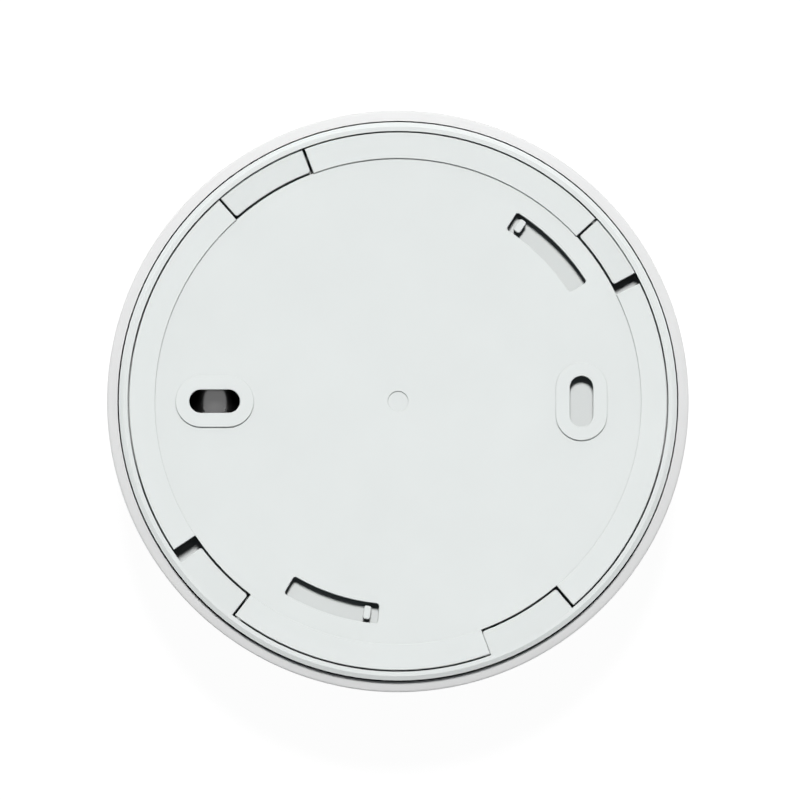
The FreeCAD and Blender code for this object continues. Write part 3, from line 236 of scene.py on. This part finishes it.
# ---------------------------------------------------------------- materials of the parts
BACK_WHITE = (0.776, 0.806, 0.796)
COVER_WHITE = (0.775, 0.775, 0.773)
SLEEVE_GREY = (0.34, 0.335, 0.335)
MOULDED_BLACK = (0.012, 0.012, 0.013)
MOULDED_GREY = (0.100, 0.105, 0.110)
FILM_BLUE = (0.015, 0.030, 0.090)
NICKEL = (0.66, 0.66, 0.65)
SPRING_STEEL = (0.50, 0.50, 0.50)
ETCHED_STEEL = (0.55, 0.55, 0.56)
ZINC = (0.62, 0.62, 0.60)
BRASS = (0.78, 0.56, 0.24)
COPPER = (0.80, 0.62, 0.50)
EPOXY_BLACK = (0.022, 0.022, 0.024)
FERRITE = (0.060, 0.060, 0.065)
CERAMIC_TAN = (0.42, 0.30, 0.20)
CERAMIC_WHITE = (0.74, 0.73, 0.70)
CLEAR_BLUE = (0.80, 0.86, 0.95)
CLEAR = (0.95, 0.97, 0.98)

# Painted shade: the base is seen through the bracket's openings, and below this height its white is painted
# darker by this factor, as shade in those recesses.
PAINTED_RECESS_SHADE = (-2 * MM, 0.9)

# Each material: how it is made, with its settings, and the CAD nodes that wear it.
MATERIALS = {
    "back_plastic": (moulded_plastic, dict(colour=BACK_WHITE, roughness=0.6), ("mounting_bracket",)),
    "base_plastic": (moulded_plastic, dict(colour=BACK_WHITE, roughness=0.6, painted_shade=PAINTED_RECESS_SHADE), ("base_housing",)),
    "cover_plastic": (
        moulded_plastic,
        dict(colour=COVER_WHITE, roughness=0.62, grain=0.3 * MM),
        ("front_cover",),
    ),
    "button_plastic": (moulded_plastic, dict(colour=COVER_WHITE, roughness=0.5), ("test_button",)),
    "cell_sleeve": (metallised_film, dict(colour=SLEEVE_GREY, roughness=0.15), ("battery_sleeve",)),
    "nickel_steel": (
        sheet_metal,
        dict(colour=NICKEL, roughness=0.24, axis=1),
        ("battery_can", "battery_cap"),
    ),
    "contact_steel": (
        sheet_metal,
        dict(colour=NICKEL, roughness=0.28, axis=2),
        ("positive_contact", "negative_contact", "photodiode_shield"),
    ),
    "black_plastic": (
        moulded_plastic,
        dict(colour=MOULDED_BLACK, roughness=0.5),
        ("battery_seal", "chamber_base", "chamber_labyrinth", "switch_body"),
    ),
    "grey_plastic": (
        moulded_plastic,
        dict(colour=MOULDED_GREY, roughness=0.45),
        ("sounder_housing", "sounder_ring", "switch_plunger"),
    ),
    "solder_mask": (circuit_laminate, {}, ("circuit_board",)),
    "chip_package": (
        fired_ceramic,
        dict(colour=EPOXY_BLACK, roughness=0.5),
        ("microcontroller", "sounder_driver", "photodiode", "chip_resistors"),
    ),
    "chip_ceramic": (fired_ceramic, dict(colour=CERAMIC_TAN, roughness=0.45), ("chip_capacitors",)),
    "ferrite": (fired_ceramic, dict(colour=FERRITE, roughness=0.6), ("boost_inductor",)),
    "capacitor_film": (
        moulded_plastic,
        dict(colour=FILM_BLUE, roughness=0.25, grain=1.2 * MM),
        ("storage_capacitor",),
    ),
    "plated_screw": (
        sheet_metal,
        dict(colour=ZINC, roughness=0.32, axis=2),
        ("board_screws", "cover_screws"),
    ),
    "etched_mesh": (sheet_metal, dict(colour=ETCHED_STEEL, roughness=0.35, axis=2), ("insect_screen",)),
    "clear_epoxy": (clear_plastic, dict(colour=CLEAR_BLUE, roughness=0.08), ("infrared_led", "status_led")),
    "clear_acrylic": (clear_plastic, dict(colour=CLEAR, roughness=0.05), ("light_pipe",)),
    "disc_brass": (sheet_metal, dict(colour=BRASS, roughness=0.3, axis=0), ("piezo_plate",)),
    "disc_ceramic": (fired_ceramic, dict(colour=CERAMIC_WHITE, roughness=0.4), ("piezo_ceramic",)),
    "gasket_foam": (cell_foam, {}, ("sounder_gasket",)),
    "tinned_copper": (sheet_metal, dict(colour=COPPER, roughness=0.3, axis=2), ("sounder_leads",)),
}


# Points closer than this are one, and faces that meet at less than this angle are shaded smooth.
MERGE_DISTANCE = 0.0005 * MM
CREASE_ANGLE = math.radians(20)


def smooth_shading():
    """Geometry nodes that join a CAD mesh's faces and shade it smooth where they meet almost flat."""
    tree = bpy.data.node_groups.new("smooth_shading", "GeometryNodeTree")
    tree.interface.new_socket("Geometry", in_out="INPUT", socket_type="NodeSocketGeometry")
    tree.interface.new_socket("Geometry", in_out="OUTPUT", socket_type="NodeSocketGeometry")
    entry, leave = tree.nodes.new("NodeGroupInput"), tree.nodes.new("NodeGroupOutput")
    merge = {"Geometry": entry.outputs["Geometry"], "Distance": MERGE_DISTANCE}
    merged = add_node(tree, "GeometryNodeMergeByDistance", merge)
    turn = add_node(tree, "GeometryNodeInputMeshEdgeAngle").outputs["Unsigned Angle"]
    fold = add_node(tree, "FunctionNodeCompare", {"A": turn, "B": CREASE_ANGLE}, operation="GREATER_THAN")
    faces = {"Geometry": merged.outputs["Geometry"], "Shade Smooth": True}
    rounded = add_node(tree, "GeometryNodeSetShadeSmooth", faces, domain="FACE")
    edges = {"Geometry": rounded.outputs["Geometry"], "Selection": fold.outputs["Result"]}
    edges["Shade Smooth"] = False
    creased = add_node(tree, "GeometryNodeSetShadeSmooth", edges, domain="EDGE")
    tree.links.new(creased.outputs["Geometry"], leave.inputs["Geometry"])
    return tree


def dress_nodes():
    """Gives every CAD node its material and its shading."""
    shading = smooth_shading()
    for name, (make, settings, nodes) in MATERIALS.items():
        material = make(name, **settings)
        for node in nodes:
            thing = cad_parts[node]
            thing.data.materials.clear()
            thing.data.materials.append(material)
            modifier = thing.modifiers.new("smooth_shading", "NODES")
            modifier.node_group = shading


# ---------------------------------------------------------------- the button's spring
SPRING_WIRE = 0.5 * MM
SPRING_TURNS = 5.5
CLOSED_TURNS = 0.75

# How finely the wire is divided: points along one turn of it, and points around it.
TURN_STEPS = 48
WIRE_SIDES = 14


def spring_path(centre, radius, low, high):
    """The wire's centre line between two heights, with its end turns closed and flat."""
    count = int(SPRING_TURNS * TURN_STEPS)
    closed = CLOSED_TURNS / SPRING_TURNS
    path = []
    for n in range(count + 1):
        share, turn = n / count, 2 * math.pi * n / TURN_STEPS
        climb = min(1.0, max(0.0, (share - closed) / (1 - 2 * closed)))
        z = low + (high - low) * climb
        path.append(Vector((centre.x + radius * math.cos(turn), centre.y + radius * math.sin(turn), z)))
    return path


def coil(name, centre, radius, low, high, material):
    """A compression spring of round wire between two heights."""
    path = spring_path(centre, radius, low + SPRING_WIRE / 2, high - SPRING_WIRE / 2)
    build = bmesh.new()
    rings = []
    for n, point in enumerate(path):
        along = (path[min(n + 1, len(path) - 1)] - path[max(n - 1, 0)]).normalized()
        out = (point - Vector((centre.x, centre.y, point.z))).normalized()
        up = along.cross(out).normalized()
        ring = []
        for k in range(WIRE_SIDES):
            angle = 2 * math.pi * k / WIRE_SIDES
            offset = (out * math.cos(angle) + up * math.sin(angle)) * SPRING_WIRE / 2
            ring.append(build.verts.new(point + offset))
        rings.append(ring)
    for first, second in zip(rings, rings[1:]):
        for k in range(WIRE_SIDES):
            following = (k + 1) % WIRE_SIDES
            build.faces.new((first[k], first[following], second[following], second[k]))
    build.faces.new(rings[0])
    build.faces.new(reversed(rings[-1]))
    bmesh.ops.recalc_face_normals(build, faces=build.faces)
    for face in build.faces:
        face.smooth = len(face.verts) == 4
    mesh = bpy.data.meshes.new(name)
    build.to_mesh(mesh)
    build.free()
    mesh.materials.append(material)
    thing = bpy.data.objects.new(name, mesh)
    bpy.context.scene.collection.objects.link(thing)
    return thing


def button_spring():
    """The spring under the test button, drawn as a fixed coil in the CAD spring's box; the real one shortens
    as the button goes in.
    """
    low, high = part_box("button_spring")
    centre = (low + high) / 2
    radius = (high.x - low.x - SPRING_WIRE) / 2
    material = sheet_metal("music_wire", SPRING_STEEL, roughness=0.3, axis=2)
    spring = coil("coil_spring", centre, radius, low.z, high.z, material)
    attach(spring, "detector")
    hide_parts("button_spring")
    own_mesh(spring)


# ---------------------------------------------------------------- stage, light and camera
FLOOR_REACH = 6.0
FLOOR_GAP = 0.2 * MM
FLOOR_GLOW = 0.97

# The soft light: its strength, its width in the sky, its height above the horizon and its heading from +X.
SOFTBOX_ENERGY = 3.18
SOFTBOX_ANGLE = math.radians(11)
SOFTBOX_HEIGHT = math.radians(64.5)
SOFTBOX_HEADING = math.radians(90.5)

# The panel: its sides, its place and how bright its face is.
PANEL_SIZE = (2.8, 2.4)
PANEL_PLACE = (0, 0.55, 2.0)
PANEL_RADIANCE = 0.4

# The room: its glow near the floor, and its faint cool glow above, up to these sines of the height.
ROOM_LOW = (0.10, 0.95)
ROOM_HIGH = (0.22, (0.031, 0.039, 0.041))

# The camera: how wide a strip it sees at the ceiling face, its distance, and its lean off the part's axis.
VIEW_WIDTH = 137.37 * MM
CAMERA_DISTANCE = 3.0
CAMERA_LEAN = (math.radians(-0.6), math.radians(-0.5))
CAMERA_CENTRE = Vector((0.33 * MM, 0.215 * MM, 0.0))


def floor():
    """A white light table under the detector's front."""
    material, tree, shader = new_material("light_table")
    tree.links.new(ramp(tree, noise(tree, 40 * MM), (0.3, 0.10), (0.7, 0.102)), shader.inputs["Base Color"])
    shader.inputs["Roughness"].default_value = 1.0
    shader.inputs["Specular IOR Level"].default_value = 0.0
    shader.inputs["Emission Color"].default_value = (1, 1, 1, 1)
    shader.inputs["Emission Strength"].default_value = FLOOR_GLOW
    mesh = bpy.data.meshes.new("floor")
    build = bmesh.new()
    bmesh.ops.create_grid(build, x_segments=8, y_segments=8, size=FLOOR_REACH)
    bmesh.ops.translate(build, verts=build.verts, vec=(0, 0, cad_box[0].z - FLOOR_GAP))
    build.to_mesh(mesh)
    build.free()
    mesh.materials.append(material)
    plane = bpy.data.objects.new("floor", mesh)
    bpy.context.scene.collection.objects.link(plane)


def aim(thing, towards):
    """Adds a lamp to the scene, turned so that it shines from this direction."""
    thing.rotation_mode = "QUATERNION"
    thing.rotation_quaternion = towards.to_track_quat("Z", "Y")
    bpy.context.scene.collection.objects.link(thing)


def room():
    """A dark room that is pale near the floor."""
    world = bpy.data.worlds.new("dark_room")
    world.use_nodes = True
    tree = world.node_tree
    sky = add_node(tree, "ShaderNodeTexCoord").outputs["Generated"]
    upward = add_node(tree, "ShaderNodeSeparateXYZ", {"Vector": sky}).outputs["Z"]
    tree.links.new(ramp(tree, upward, ROOM_LOW, ROOM_HIGH), tree.nodes["Background"].inputs["Color"])
    bpy.context.scene.world = world


def lights():
    """One soft light from the +Y side, and a panel overhead that only shows in gloss."""
    lamp = bpy.data.lights.new("softbox", "SUN")
    lamp.energy = SOFTBOX_ENERGY
    lamp.angle = SOFTBOX_ANGLE
    level = math.cos(SOFTBOX_HEIGHT)
    towards = (level * math.cos(SOFTBOX_HEADING), level * math.sin(SOFTBOX_HEADING), math.sin(SOFTBOX_HEIGHT))
    aim(bpy.data.objects.new("softbox", lamp), Vector(towards))

    panel = bpy.data.lights.new("panel", "AREA")
    panel.shape = "RECTANGLE"
    panel.size, panel.size_y = PANEL_SIZE
    panel.energy = PANEL_RADIANCE * math.pi * panel.size * panel.size_y
    overhead = bpy.data.objects.new("panel", panel)
    overhead.location = PANEL_PLACE
    overhead.visible_diffuse = False
    aim(overhead, Vector((0, 0, 1)))


def camera():
    """A long lens above the bracket, under a degree off its axis."""
    data = bpy.data.cameras.new("camera")
    data.sensor_width = 36.0
    data.lens = data.sensor_width * CAMERA_DISTANCE / VIEW_WIDTH
    data.clip_start = 0.1
    data.clip_end = 20.0
    eye = bpy.data.objects.new("camera", data)
    lean_x, lean_y = CAMERA_LEAN
    back = Vector((math.tan(lean_x), math.tan(lean_y), 1.0)).normalized()
    across = (Vector((1, 0, 0)) - back * back.x).normalized()
    turn = Matrix((across, back.cross(across), back)).transposed()
    eye.matrix_world = Matrix.Translation(CAMERA_CENTRE + back * CAMERA_DISTANCE) @ turn.to_4x4()
    bpy.context.scene.collection.objects.link(eye)
    bpy.context.scene.camera = eye


dress_nodes()
button_spring()
floor()
room()
lights()
camera()
bpy.context.scene.view_settings.view_transform = "Standard"
bpy.context.scene.cycles.diffuse_bounces = 0
